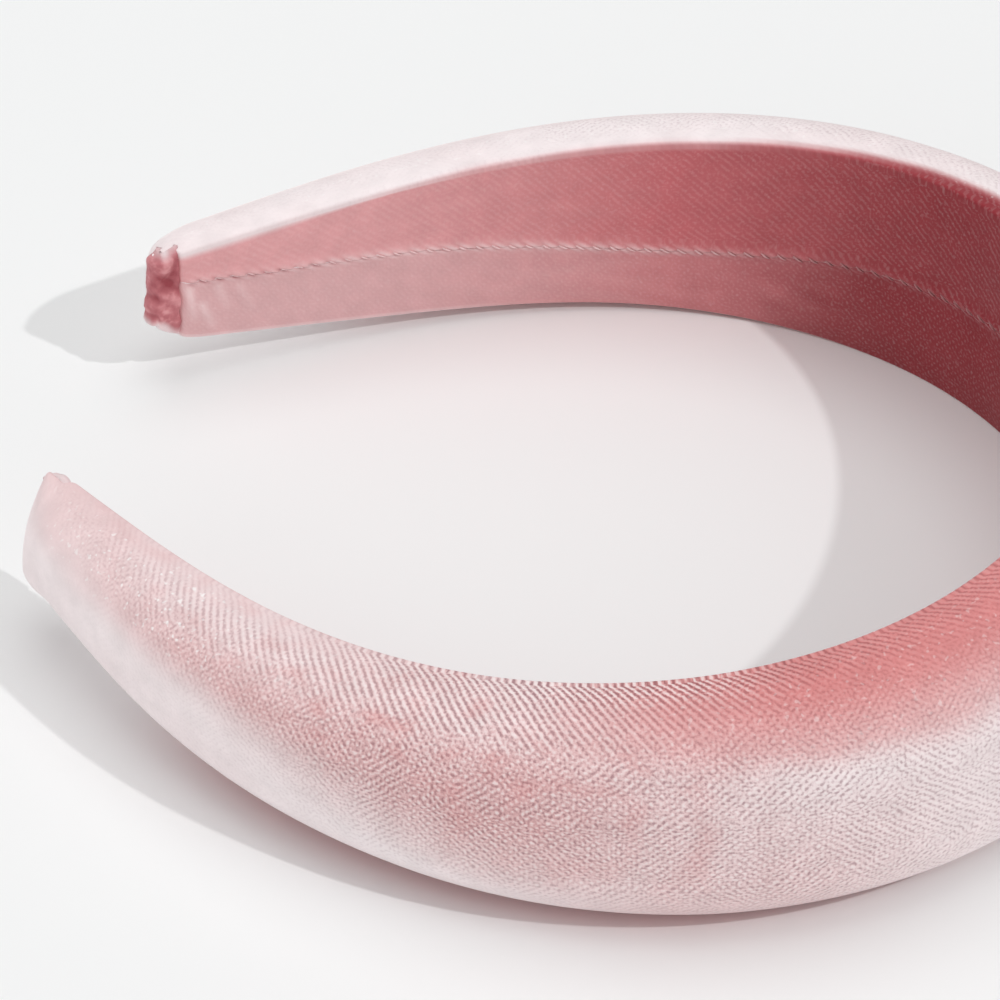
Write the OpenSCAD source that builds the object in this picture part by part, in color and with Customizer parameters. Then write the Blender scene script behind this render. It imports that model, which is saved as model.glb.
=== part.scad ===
// Padded headband: a padded band in a velvet cover, which is turned in along the inner face,
// sewn shut there by hand and tucked in over both ends.
// It lies on its lower edge on the plane z = 0, crown towards +X and open end towards -X.

/* [Band] */
// Length of the inner face from the middle of the crown to a tip
half_length = 189.5; // [170:0.5:205]
// Inner radius that the crown is bent to
crown_radius = 62; // [57:1:68]
// Width of the band at the crown
crown_width = 42; // [30:0.5:50]
// Width of the band where the rounding of a tip begins
tip_width = 15.8; // [12:0.2:22]
// Width at the very end of a tip
end_width = 12.6; // [10:0.2:15]
// Height of the tips' lower edge above the surface that the crown rests on
tip_rise = 8.9; // [5:0.1:12]

/* [Padding] */
// Thickness of the padded crown, cover included
crown_thick = 18.9; // [14:0.1:24]
// Thickness where the rounding of a tip begins, cover included
tip_thick = 9.7; // [7:0.1:13]
// Thickness at the very end of a tip
end_thick = 4.2; // [4:0.1:7]
// Length over which each tip rounds off
end_round = 7.6; // [4:0.1:12]
// Depth to which the lower edge is pressed flat where it rests
rest_flat = 0.3; // [0.2:0.05:0.6]

/* [Cover] */
// Thickness of the velvet that is turned in over the inner face
lap_thick = 1.2; // [0.8:0.1:2]
// Clearance between the velvet pieces and under them
lap_gap = 0.3; // [0.2:0.05:0.4]
// Distance that the turned in velvet keeps from the band's edges
lap_inset = 0.15; // [0.1:0.05:0.6]
// How far the turned in velvet bulges over the inner face
lap_bulge = 0.3; // [0.1:0.05:0.6]
// Height of the rolled edge along each side of the seam
roll_height = 0.6; // [0.3:0.05:1]
// Width of each rolled edge
roll_width = 1.8; // [1:0.1:2.4]
// Length of the gathered tuck at each tip
tuck_length = 5; // [3:0.5:8]
// Depth of the pleats in a tuck
pleat_depth = 0.6; // [0.3:0.05:0.9]
// Pleats across a tuck
pleats = 3; // [2:1:4]

/* [Hidden] */
velvet = "#D9A9AC";
velvet_inside = "#B9686D";
velvet_end = "#B55F66";

// Sections at equal steps of the inner face, from the middle of the crown to a tip.
// BEND is a share of the crown's bend, WIDTH and THICK are shares of the way from the tip's
// size to the crown's, RISE is a share of tip_rise, and SEAM is the height of the seam over
// the middle of the inner face, as a share of half the width.
BEND = 0;
WIDTH = 1;
THICK = 2;
RISE = 3;
SEAM = 4;
sections = [
    [ 0.94, 1.00, 1.00, 0.00,  0.00],
    [ 1.03, 0.95, 0.81, 0.00, -0.01],
    [ 0.98, 0.81, 0.66, 0.00, -0.10],
    [ 0.76, 0.58, 0.60, 0.15, -0.29],
    [ 0.38, 0.34, 0.41, 0.38, -0.01],
    [-0.12, 0.00, 0.00, 1.00,  0.24],
];

// The section bulges as a superellipse: these powers make its sides steep and its top full
side_power = 0.62;
dome_power = 0.74;

// Shape of the rolled edge beside the seam: [share of roll_height, share of roll_width]
roll_shape = [[0.5, 0], [1, 0.33], [0.7, 0.67], [0, 1]];
// The turned in velvet is rounded at the band's edge over this share of its thickness
corner_share = 0.6;
// Share of a pleat's depth that is left where the pleat runs out
pleat_run_out = 0.4;

// Fineness of the meshes
path_steps = 190;
band_steps = 36;
round_steps = 6;
dome_steps = 24;
lap_steps = 38;
tuck_steps = 4;
pleat_steps = 6;

// Smooth value of a column of the table at a share of the half length, even about the crown
function column_at(column, share) =
    let (last = len(sections) - 1)
    let (place = min(max(share, 0), 1) * last)
    let (i = min(floor(place), last - 1), t = place - i)
    let (b = sections[i][column], c = sections[i + 1][column])
    let (a = i == 0 ? c : sections[i - 1][column])
    let (d = i + 2 > last ? 2 * c - b : sections[i + 2][column])
    b + t / 2 * ((c - a) + t * ((2 * a - 5 * b + 4 * c - d) + t * (3 * b - a - 3 * c + d)));

// A circular fall from one value to another over the rounding of a tip
function rounded(s, from, to) =
    let (q = min(1, max(0, (abs(s) - half_length + end_round) / end_round)))
    from + (to - from) * (1 - sqrt(1 - q * q));

function share_at(s) = abs(s) / half_length;
function full_width(s) = tip_width + (crown_width - tip_width) * column_at(WIDTH, share_at(s));
function full_thick(s) = tip_thick + (crown_thick - tip_thick) * column_at(THICK, share_at(s));
function width_at(s) = rounded(s, full_width(s), full_width(s) * end_width / tip_width);
function thick_at(s) = rounded(s, full_thick(s), full_thick(s) * end_thick / tip_thick);
function rise_at(s) = tip_rise * max(0, column_at(RISE, share_at(s)));
function middle_at(s) = rise_at(s) - rest_flat + full_width(s) / 2;
function seam_at(s) = column_at(SEAM, share_at(s)) * width_at(s) / 2;

// The inner face seen from above: [x, y, heading] at equal steps from the crown to a tip
path_step = half_length / path_steps;
function turn(i) = column_at(BEND, (i + 0.5) / path_steps) * path_step / crown_radius * 180 / PI;
path = [
    for (i = 0, p = [0, 0], a = 90; i <= path_steps;
        p = p + path_step * [cos(a + turn(i) / 2), sin(a + turn(i) / 2)],
        a = a + turn(i),
        i = i + 1)
    [p.x, p.y, a]
];
function far_path(s) =
    let (place = s / path_step, i = min(floor(place), path_steps - 1))
    path[i] + (place - i) * (path[i + 1] - path[i]);
function path_at(s) =
    let (p = far_path(abs(s)))
    s < 0 ? [p.x, -p.y, 180 - p.z] : p;

// A point of the section at s: out from the inner face, and up from the middle of the band
function lay(s, out, up) =
    let (p = path_at(s))
    [p.x + out * sin(p.z), p.y - out * cos(p.z), max(0, middle_at(s) + up)];

// Distances along the inner face, from the near tip over the crown to the far tip
half_stations = concat(
    [for (i = [0 : band_steps]) (half_length - end_round) * i / band_steps],
    [for (i = [1 : round_steps]) half_length - end_round * (1 - sin(90 * i / round_steps))]);
band_stations = concat(
    [for (i = [len(half_stations) - 1 : -1 : 1]) -half_stations[i]],
    half_stations);
lap_end = half_length - tuck_length - lap_gap;
lap_stations = [for (i = [-lap_steps : lap_steps]) lap_end * i / lap_steps];
function tuck_stations(side) =
    let (last = side > 0 ? tuck_steps : 0)
    [for (i = [0 : tuck_steps]) side * (half_length - tuck_length * abs(last - i) / tuck_steps)];

// The padded section: a full dome over a flat back that leaves room for the turned in velvet
pad_back = lap_thick + lap_gap;
function signed_power(value, power) = sign(value) * pow(abs(value), power);
function pad_section(s) =
    let (first = asin(pow(pad_back / thick_at(s), 1 / dome_power)))
    [
        for (i = [0 : dome_steps])
        let (a = first + (180 - 2 * first) * i / dome_steps)
        [thick_at(s) * pow(sin(a), dome_power),
            width_at(s) / 2 * signed_power(cos(a), side_power)]
    ];

// The velvet on one side of the seam, out from the inner face and away from the seam:
// rolled up beside the seam, bulging a little, and round at the band's edge
corner = lap_thick * corner_share;
function lap_points(s, side) =
    let (start = lap_gap / 2, edge = width_at(s) / 2 - lap_inset - side * seam_at(s))
    let (flat = (start + roll_width + edge - corner) / 2)
    concat(
        [for (r = roll_shape) [-roll_height * r[0], start + roll_width * r[1]]],
        [
            [-lap_bulge, flat],
            [0, edge - corner],
            [corner * (1 - sqrt(0.5)), edge - corner * (1 - sqrt(0.5))],
            [corner, edge],
            [lap_thick, edge],
            [lap_thick, flat],
            [lap_thick, start],
        ]);
function lap_section(s, side) = [for (p = lap_points(s, side)) [p.x, seam_at(s) + side * p.y]];

// The tuck: pleats that deepen towards the end of the tip
function pleat_at(s) =
    let (run = (half_length - abs(s)) / tuck_length)
    pleat_depth * (1 - (1 - pleat_run_out) * run);
function tuck_section(s) =
    let (half = width_at(s) / 2 - lap_inset, count = pleats * pleat_steps)
    concat(
        [for (i = [0 : count])
            [-pleat_at(s) * (1 - cos(360 * i / pleat_steps)) / 2, half * (2 * i / count - 1)]],
        [[lap_thick, half], [lap_thick, 0], [lap_thick, -half]]);

function rings(stations, slices) = [
    for (i = [0 : len(stations) - 1])
    [for (q = slices[i]) lay(stations[i], q.x, q.y)]
];

// The origin is under the middle of the band's box
band_rings = rings(band_stations, [for (s = band_stations) pad_section(s)]);
band_x = [for (r = band_rings) for (p = r) p.x];
centre = [(max(band_x) + min(band_x)) / 2, 0, 0];

// A closed skin over a row of rings with equal numbers of points. Each end is a fan of
// triangles round the middle of its ring.
function ring_middle(points, start, count) =
    [for (i = [0 : count - 1]) 1 / count] * [for (i = [0 : count - 1]) points[start + i]];

module skin(rings, turned = false) {
    n = len(rings[0]);
    last = len(rings) - 1;
    count = n * len(rings);
    all = [for (r = rings) for (p = r) p - centre];
    points = concat(all, [ring_middle(all, 0, n), ring_middle(all, last * n, n)]);
    faces = [
        for (j = [0 : n - 1])
        let (next = (j + 1) % n)
        each concat(
            [for (k = [0 : last - 1]) [k * n + j, (k + 1) * n + j, (k + 1) * n + next]],
            [for (k = [0 : last - 1]) [k * n + j, (k + 1) * n + next, k * n + next]],
            [[j, next, count], [last * n + next, last * n + j, count + 1]])
    ];
    polyhedron(points, turned ? [for (f = faces) [f[0], f[2], f[1]]] : faces, convexity = 6);
}

module padded_band() {
    color(velvet)
        skin(band_rings);
}

module lap(side) {
    color(velvet_inside)
        skin(rings(lap_stations, [for (s = lap_stations) lap_section(s, side)]), side < 0);
}

module lap_upper() {
    lap(1);
}

module lap_lower() {
    lap(-1);
}

module tuck(side) {
    stations = tuck_stations(side);
    color(velvet_end)
        skin(rings(stations, [for (s = stations) tuck_section(s)]));
}

module tuck_near() {
    tuck(-1);
}

module tuck_far() {
    tuck(1);
}

padded_band();
lap_upper();
lap_lower();
tuck_near();
tuck_far();
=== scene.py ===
"""Padded velvet headband, lying on its lower edge, laid out as an add-on with one operator a piece."""

import math
import random
from collections import namedtuple

import bmesh
import bpy
from bpy.props import FloatProperty, FloatVectorProperty, PointerProperty
from mathutils import Matrix, Vector, noise


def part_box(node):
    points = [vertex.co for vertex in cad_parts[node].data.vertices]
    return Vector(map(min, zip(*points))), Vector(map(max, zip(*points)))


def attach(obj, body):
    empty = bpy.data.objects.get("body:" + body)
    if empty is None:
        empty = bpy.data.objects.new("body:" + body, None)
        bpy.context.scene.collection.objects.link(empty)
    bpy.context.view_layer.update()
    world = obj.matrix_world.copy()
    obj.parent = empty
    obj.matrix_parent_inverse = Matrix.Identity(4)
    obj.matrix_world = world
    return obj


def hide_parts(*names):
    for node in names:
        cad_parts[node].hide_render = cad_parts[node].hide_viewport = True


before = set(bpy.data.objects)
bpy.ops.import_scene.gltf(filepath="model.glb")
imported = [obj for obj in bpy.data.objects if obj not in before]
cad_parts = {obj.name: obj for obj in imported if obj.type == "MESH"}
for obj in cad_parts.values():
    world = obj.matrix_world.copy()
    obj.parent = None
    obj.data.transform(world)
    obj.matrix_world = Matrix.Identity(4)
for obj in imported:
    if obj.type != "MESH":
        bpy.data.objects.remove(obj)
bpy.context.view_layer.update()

bl_info = {
    "name": "Padded velvet headband",
    "version": (1, 0, 0),
    "blender": (4, 5, 0),
    "location": "View3D > Sidebar > Headband",
    "description": "Builds a padded headband with a velvet cover, a hand-sewn seam and tucked ends",
    "category": "Add Mesh",
}

MM = 0.001

# Sections at equal steps of the inner face, from the middle of the crown to a tip: the bend, as
# a share of the crown's; width and thickness, as shares of the way from the tip's to the crown's;
# the rise of the lower edge, as a share of the tip's; and the seam's height over the middle of
# the inner face, as a share of half the width.
Section = namedtuple("Section", "bend width thick rise seam")
SECTIONS = (
    Section(0.94, 1.00, 1.00, 0.00, 0.00),
    Section(1.03, 0.95, 0.81, 0.00, -0.01),
    Section(0.98, 0.81, 0.66, 0.00, -0.10),
    Section(0.76, 0.58, 0.60, 0.15, -0.29),
    Section(0.38, 0.34, 0.41, 0.38, -0.01),
    Section(-0.12, 0.00, 0.00, 1.00, 0.24),
)
PATH_STEPS = 190
# The section bulges as a superellipse: these powers make its sides steep and its top full
SIDE_POWER = 0.62
DOME_POWER = 0.74
# The cloth simulation works in larger units, for this many frames
SWELL_SCALE = 20
SWELL_FRAMES = 20

# Folded edges beside the seam: how far each point stands proud of the inner face, and how far
# from the seam it lies, in millimetres
UPPER_FOLD = ((0.12, 0.0), (0.20, 0.3), (0.28, 0.7), (0.26, 1.2), (0.15, 1.8))
LOWER_FOLD = ((0.12, 0.0), (0.12, 0.3), (0.11, 0.7), (0.09, 1.2), (0.05, 1.8))
LAP_POINTS = 5
CORNER_POINTS = 3
DOME_POINTS = 20
TUCK_RINGS = 5
# Over the last TIP_FALL millimetres the dome's upper half falls off and its lower half swells, by
# these shares of the thickness
TIP_FALL = 10
NEAR_FALL = 0.45
FAR_FALL = 0.14
TIP_SWELL = 0.22
# The near arm's upper edge stands highest here and falls off over this length, in millimetres
NEAR_FULLEST = -88
NEAR_FULL_SPREAD = 42
# The seam is drawn up this far between two distances from a tip, in millimetres
SEAM_DRAWN_UP = 0.7
SEAM_DRAW = (20, 5)
# Round the ring, the corners between laps and dome take up this much of a place
CORNER_PLACE = 0.03
# The flat cloth is measured along this share of the thickness
CLOTH_LINE = 0.4
# The cover starts this full at its shoulders and this much flatter in its middle, as shares of the
# slack, because pressure rounds it
START_FULL = 0.7
START_FLAT = 2.4
# The tuck, in millimetres: it starts a little before its bed, turns round the end of the tip with
# this radius, and goes down behind it
TUCK_EARLY = 0.3
TUCK_OVER = 0.8
TUCK_TURN = 1.6
TUCK_DOWN = 1.2
# From its start the tuck's bed is reached over this length, in millimetres
BED_STEP = 0.3
# Rings that close a tip: how far past its end, in millimetres, and how large
CLOSING_RINGS = ((0.35, 0.85), (0.55, 0.5), (0.6, 0.0))

# How the pile lies on the outside of the band. AT is the distance from the crown's middle in
# millimetres, towards the near tip where it is negative. The rest is told round the dome, from 0
# at its upper edge to 1 at its lower: STRIPES ends the clear ribs and SPECKLE the broken ones,
# EDGE and FLECK say how bold the two are, in relief, in painted shade in the grooves and in painted
# highlight on the ribs, and SLOPE says which way the broken ones lean, from 0 for the one family of
# ribs to 1 for the other. ROSE ends the pile that is brushed the other way, DEPTH says how deep its
# colour is, TOP, MIDDLE and LOW say how much painted sheen the pile gets there, and the last column
# says how often single tufts get a painted glint.
Nap = namedtuple("Nap", "at stripes speckle edge fleck slope rose depth top middle low glitter")
NAPS = (
    Nap(-190, -0.10, 0.10, 0.10, 0.08, 0.6, 0.05, 0.0, 0.45, 0.75, 0.95, 0.0),
    Nap(-171, 0.06, 0.30, 0.26, 0.24, 0.6, 0.05, 0.0, 0.42, 0.58, 0.95, 0.7),
    Nap(-153, 0.14, 0.38, 0.45, 0.45, 0.7, 0.05, 0.0, 0.60, 0.20, 0.95, 0.9),
    Nap(-135, 0.16, 0.48, 0.58, 0.52, 0.7, 0.05, 0.0, 0.55, 0.10, 0.95, 0.4),
    Nap(-117, 0.18, 0.58, 0.75, 0.80, 0.6, 0.08, 0.10, 0.35, 0.10, 1.00, 0.2),
    Nap(-99, 0.18, 0.62, 1.00, 0.80, 0.5, 0.20, 0.25, 0.55, 0.04, 0.85, 0.2),
    Nap(-81, 0.16, 0.68, 0.95, 0.80, 0.2, 0.29, 0.80, 0.30, 0.36, 0.40, 0.3),
    Nap(-63, 0.06, 0.72, 0.75, 0.80, 0.2, 0.34, 1.00, 0.00, 0.80, 0.45, 0.3),
    Nap(-45, 0.06, 0.84, 0.55, 0.60, 0.9, 0.36, 1.00, 0.00, 0.85, 0.85, 0.3),
    Nap(0, 0.08, 0.84, 0.50, 0.55, 0.7, 0.34, 1.00, 0.00, 0.75, 0.75, 0.3),
    Nap(30, 0.08, 0.74, 0.40, 0.45, 0.5, 0.27, 0.80, 0.30, 0.60, 0.70, 0.5),
    Nap(58, 0.05, 0.64, 0.20, 0.40, 0.5, 0.10, 0.00, 0.90, 0.60, 0.70, 0.5),
    Nap(120, -0.05, 0.54, 0.14, 0.36, 0.5, 0.05, 0.00, 1.00, 0.60, 0.85, 0.5),
    Nap(165, -0.10, 0.34, 0.12, 0.26, 0.5, 0.05, 0.00, 1.00, 0.75, 0.95, 0.5),
    Nap(190, -0.10, 0.10, 0.08, 0.10, 0.5, 0.05, 0.00, 0.90, 0.90, 0.95, 0.2),
)
# What a vertex of the cover tells about the pile there
LIES = ("ribs", "grain_and_groove_shade", "lit", "slope", "glitter", "painted_sheen", "rose", "inside", "flushed", "deepened",
        "greyed")
# The pile of the inner face: how clear the ribs are on the upper and on the lower lap, then the
# strength of the relief and painted groove shade, the painted highlight on the ribs, the slope, the
# painted glints, the painted sheen and the rose
INNER_RIBS = (0.55, 0.2)
INNER_PILE = (0.06, 0.10, 0.7, 0.06, 0.0, 0.0)
# Along the inner face the pile goes from its deepest to its palest over this stretch; the deep
# end stands partly for painted shade inside the bend, the pale end partly for painted sheen
INNER_FADE = (50, 170)
# Other stretches over which something changes, in millimetres from the crown's middle and negative
# on the near arm. The line where the far arm's outside turns into its inner face shifts and softens:
FAR_SIDE = (-30, 40)
FAR_EDGE = (45, 110)
FAR_EDGE_SOFT = (60, 110)
FAR_END = (140, 160)
FAR_END_SOFT = (150, 185)
# Both lower edges get a rim of painted sheen, and the rose under the dome ends:
SHEEN_RIM = (105, 150)
UNDER_END = (130, 170)
# On the near arm the upper edge is calm, the painted sheen starts lower, the rose under the dome
# starts higher, and rose blotches show:
NEAR_CALM = (-115, -145)
LATE_SHINE = (-155, -95)
EARLY_SHINE = (-90, -60)
UNDER_LOWER = (-90, -55)
BLOTCHED = (-65, -85)
# Along the seam the stitches pull harder, the puffs gain their painted highlight and lose it again,
# and the thread loses its painted shade and sinks in:
PULLED = (150, 172)
PUFFS_PALE = (85, 128)
PUFFS_DULL = (158, 172)
THREAD_PALE = (75, 130)
THREAD_SUNK = (150, 170)

# Short folds that run down the lower lap beside a tip, in millimetres: distance from the tip and
# depth under the seam where each starts and where it ends, and its height
Pucker = namedtuple("Pucker", "start under end end_under height")
PUCKERS = (
    Pucker(4.9, 1.4, 5.6, 6.4, 0.45),
    Pucker(6.9, 4.6, 8.4, 8.4, 0.38),
    Pucker(9.6, 1.5, 10.8, 5.2, 0.24),
    Pucker(13.0, 2.0, 14.8, 6.2, 0.16),
)
# A fold gets its full painted highlight from this height on, in millimetres
PUCKER_FULL = 0.35
# A stitch leans this far along the seam for each millimetre across it
STITCH_SLANT = 1.5
# More stitches than a seam can have, for which the pull is drawn
STITCH_DRAWS = 400
# Where the velvet puffs up and where it is pricked in: the place across the seam and the spread
PUFF_ACROSS = (0.15, 0.85)
PRICK_ACROSS = (-0.1, 0.45)
# How proud of the inner face the thread lies, along the arms and at the tips, and how far its ends
# dip, in millimetres
THREAD_PROUD = (0.38, 0.12)
THREAD_DIP = 0.35

# Folds of a tuck, each a line from one place to another: T runs from 0 on the inner face to 1 at
# the end of the tip, W from -1 at the lower edge to 1 at the upper. Height in millimetres.
Crease = namedtuple("Crease", "t w end_t end_w height spread")
CREASES = (
    Crease(0.00, 0.92, 0.93, -0.12, -0.55, 0.10),
    Crease(0.72, 0.52, 0.00, 0.14, -0.45, 0.08),
    Crease(0.64, 0.06, 0.00, -0.13, 0.55, 0.10),
    Crease(0.52, 0.82, 0.56, 0.78, 0.50, 0.13),
    Crease(0.04, 0.95, 0.05, 0.60, 0.35, 0.07),
    Crease(0.25, -0.25, 0.60, -0.60, 0.25, 0.20),
    Crease(0.10, -0.74, 0.95, -0.66, -0.35, 0.08),
    Crease(0.80, -0.85, 0.30, -0.92, 0.25, 0.10),
)
# Length of a tuck as a share of half its width, which makes distances on it true
TUCK_SHAPE = 0.45

# Unevenness of the velvet: size of its lumps in millimetres, and strength. Specks are single tufts,
# the next three bend the two families of ribs, and torn ends the clear ribs raggedly.
UNEVEN = ((0.5, 1.0), (6, 0.5), (2.2, 1.0), (1.6, 1.8), (3.1, 1.4))
CLOUDS = (4, 0.22)
# Size of the tufts that get a painted glint, in millimetres
TUFT_SIZE = 0.9
# From one turn of the thread's twist to the next, in millimetres, and what the wave texture has from
# band to band at scale 1, in metres
TWIST = 0.4
WAVE_REPEAT = 0.35
# Painted shade: what the grooves between the ribs keep of the nap's colour. Painted highlight:
# the colours of lit ribs and tufts
GROOVE_SHADE_KEEPS = (0.50, 0.40, 0.43)
LIT_RIB = (1, 0.93, 0.92, 1)
LIT_TUFT = (1, 0.97, 0.96, 1)

# The camera: turned round from straight in front and raised above the floor, in radians, then its
# distance, the point that it looks at, its lens in millimetres and its roll
CAMERA_TURN = 0.24792
CAMERA_RAISE = 0.70175
CAMERA_DISTANCE = 1.17339
CAMERA_TARGET = Vector((-0.02403, 0.01260, 0))
CAMERA_LENS = 287.36
CAMERA_ROLL = 0.00533
# The lights: strength, spread in degrees and where each comes from
LIGHTS = (
    ("window", 0.82, 1.6, (0.9428, -0.3115, 1)),
    ("ceiling", 0.88, 50, (0, 0.15, 1)),
    ("front fill", 0.50, 70, (-0.25, -1, 0.25)),
    ("left fill", 0.32, 50, (-1, 0.05, 0.55)),
)
WORLD_STRENGTH = 0.44
# Half the width of the floor, in metres
FLOOR_HALF = 4


def linear(hex_colour):
    """An sRGB hex value as linear red, green and blue."""
    shares = [int(hex_colour[i:i + 2], 16) / 255 for i in (1, 3, 5)]
    return tuple(c / 12.92 if c <= 0.04045 else ((c + 0.055) / 1.055) ** 2.4 for c in shares)


def length(name, description, millimetres, low, high):
    """A size of the headband as a property in metres."""
    return FloatProperty(name=name, description=description, default=millimetres * MM,
                         min=low * MM, max=high * MM, unit="LENGTH", subtype="DISTANCE")


def colour(name, description, hex_colour):
    """A colour as a property, from its sRGB hex value."""
    return FloatVectorProperty(name=name, description=description, default=linear(hex_colour),
                               size=3, min=0, max=1, subtype="COLOR")


class HeadbandSizes(bpy.types.PropertyGroup):
    """Sizes of the band, its cover, its seam and its ends."""

    half_length: length("Half length", "Inner face, from the crown's middle to a tip", 189.5, 170, 205)
    crown_radius: length("Crown radius", "Inner radius that the crown is bent to", 62, 57, 68)
    crown_width: length("Crown width", "Width of the band at the crown", 42, 30, 50)
    tip_width: length("Tip width", "Width where the rounding of a tip begins", 15.8, 12, 22)
    end_width: length("End width", "Width at the very end of a tip", 12.6, 10, 15)
    tip_rise: length("Tip rise", "Height of the tips' lower edge above the floor", 8.9, 5, 12)
    crown_thick: length("Crown thickness", "Thickness of the padded crown", 18.9, 14, 24)
    tip_thick: length("Tip thickness", "Thickness where the rounding of a tip begins", 9.7, 7, 13)
    end_thick: length("End thickness", "Thickness at the very end of a tip", 4.2, 4, 7)
    end_round: length("End rounding", "Length over which each tip rounds off", 7.6, 4, 12)
    end_slant: length("End slant", "How far a tip's lower corner juts out past its upper", 0.9, 0, 2)
    near_lift: length("Near lift", "How far the near tip's very end is pulled up", 2.2, 0, 3)
    far_lift: length("Far lift", "How far the far tip's very end is pulled up", 1.2, 0, 3)
    near_full: length("Near fullness", "How much higher the near arm's upper edge stands", 0.7, 0, 1.5)
    rest_flat: length("Resting flat", "Depth to which the lower edge is pressed flat", 0.3, 0.2, 0.6)
    edge_round: length("Edge rounding", "Radius of the cover where it turns in", 0.6, 0.4, 1.5)
    lap_bulge: length("Lap bulge", "How far the turned in velvet bulges", 0.3, 0.1, 0.6)
    slack: length("Slack", "How far the padding can swell the cover", 0.35, 0.1, 1)
    tuck_length: length("Tuck length", "Length of the gathered tuck at each tip", 3.6, 3, 8)
    tuck_bed: length("Tuck bed", "Depth of the hollow that a tuck lies in", 1.35, 1, 1.5)
    tuck_thick: length("Tuck thickness", "Thickness of the gathered velvet", 1.1, 0.6, 2)
    stitch_pitch: length("Stitch pitch", "From one stitch of the seam to the next", 2.55, 2, 4)
    stitch_length: length("Stitch length", "Length of a stitch", 2.0, 1, 3)
    thread: length("Thread", "Diameter of the sewing thread", 0.5, 0.2, 0.6)
    puff: length("Puff", "Height of the velvet between two stitches", 0.3, 0.1, 0.6)
    prick: length("Prick", "Depth of the velvet under a stitch", 0.35, 0.1, 0.8)
    rib_pitch: length("Rib pitch", "From one slanting rib of the velvet to the next", 1.02, 0.8, 2)
    ring_pitch: length("Ring pitch", "From one ring of the cover's mesh to the next", 1.6, 1, 4)


class HeadbandColours(bpy.types.PropertyGroup):
    """Colours of the velvet and of what surrounds it."""

    # Painted sheen: the pale shine of the pile, laid into the colour
    painted_sheen: colour("Silver nap", "Velvet where its pile lies smooth and shines", "#F8EDEE")
    dusty: colour("Dusty nap", "Velvet seen across its pile", "#DFB0B0")
    rose: colour("Rose nap", "Velvet brushed the other way", "#D88382")
    # Along the inner face the colour deepens towards the crown, partly as painted shade inside the bend,
    # and pales towards the tips, partly as painted sheen
    turned: colour("Turned nap", "Velvet on the inner face, near the tips", "#EAADAF")
    flush: colour("Flushed nap", "Velvet on the inner face, along the arms", "#CE7176")
    deep: colour("Deep nap", "Velvet on the inner face, at the crown", "#8B1C28")
    shaded: colour("Shaded nap", "Velvet on the lower lap", "#DDBBBC")
    # Painted shade down in folds and under the stitches
    crease_shade: colour("Crease", "Velvet down in a fold or under a stitch", "#A04C54")
    tuck: colour("Tuck", "Velvet gathered at the tips", "#DC9095")
    thread: colour("Thread", "Sewing thread", "#F7DADA")
    floor: colour("Floor", "The pale floor", "#F3F4F4")


def column_at(column, share):
    """Smooth value of a column of SECTIONS at a share of the half length, even about the crown."""
    last = len(SECTIONS) - 1
    place = min(max(share, 0.0), 1.0) * last
    i = min(int(place), last - 1)
    t = place - i
    b = getattr(SECTIONS[i], column)
    c = getattr(SECTIONS[i + 1], column)
    a = c if i == 0 else getattr(SECTIONS[i - 1], column)
    d = 2 * c - b if i + 2 > last else getattr(SECTIONS[i + 2], column)
    return b + t / 2 * ((c - a) + t * ((2 * a - 5 * b + 4 * c - d) + t * (3 * b - a - 3 * c + d)))


def smooth(low, high, value):
    """0 below low, 1 above high, and a smooth rise between."""
    t = min(max((value - low) / (high - low), 0.0), 1.0)
    return t * t * (3 - 2 * t)


def mix(a, b, share):
    return a + (b - a) * share


def bell(distance, spread):
    """1 in the middle, falling off as a bell curve."""
    return math.exp(-(distance / spread) ** 2)


def near_tip(sizes, s, start, end=0):
    """0 further than start from a tip and 1 nearer than end, in millimetres."""
    return smooth(sizes.half_length - start * MM, sizes.half_length - end * MM, abs(s))


def signed_power(value, power):
    return math.copysign(abs(value) ** power, value)


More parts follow.
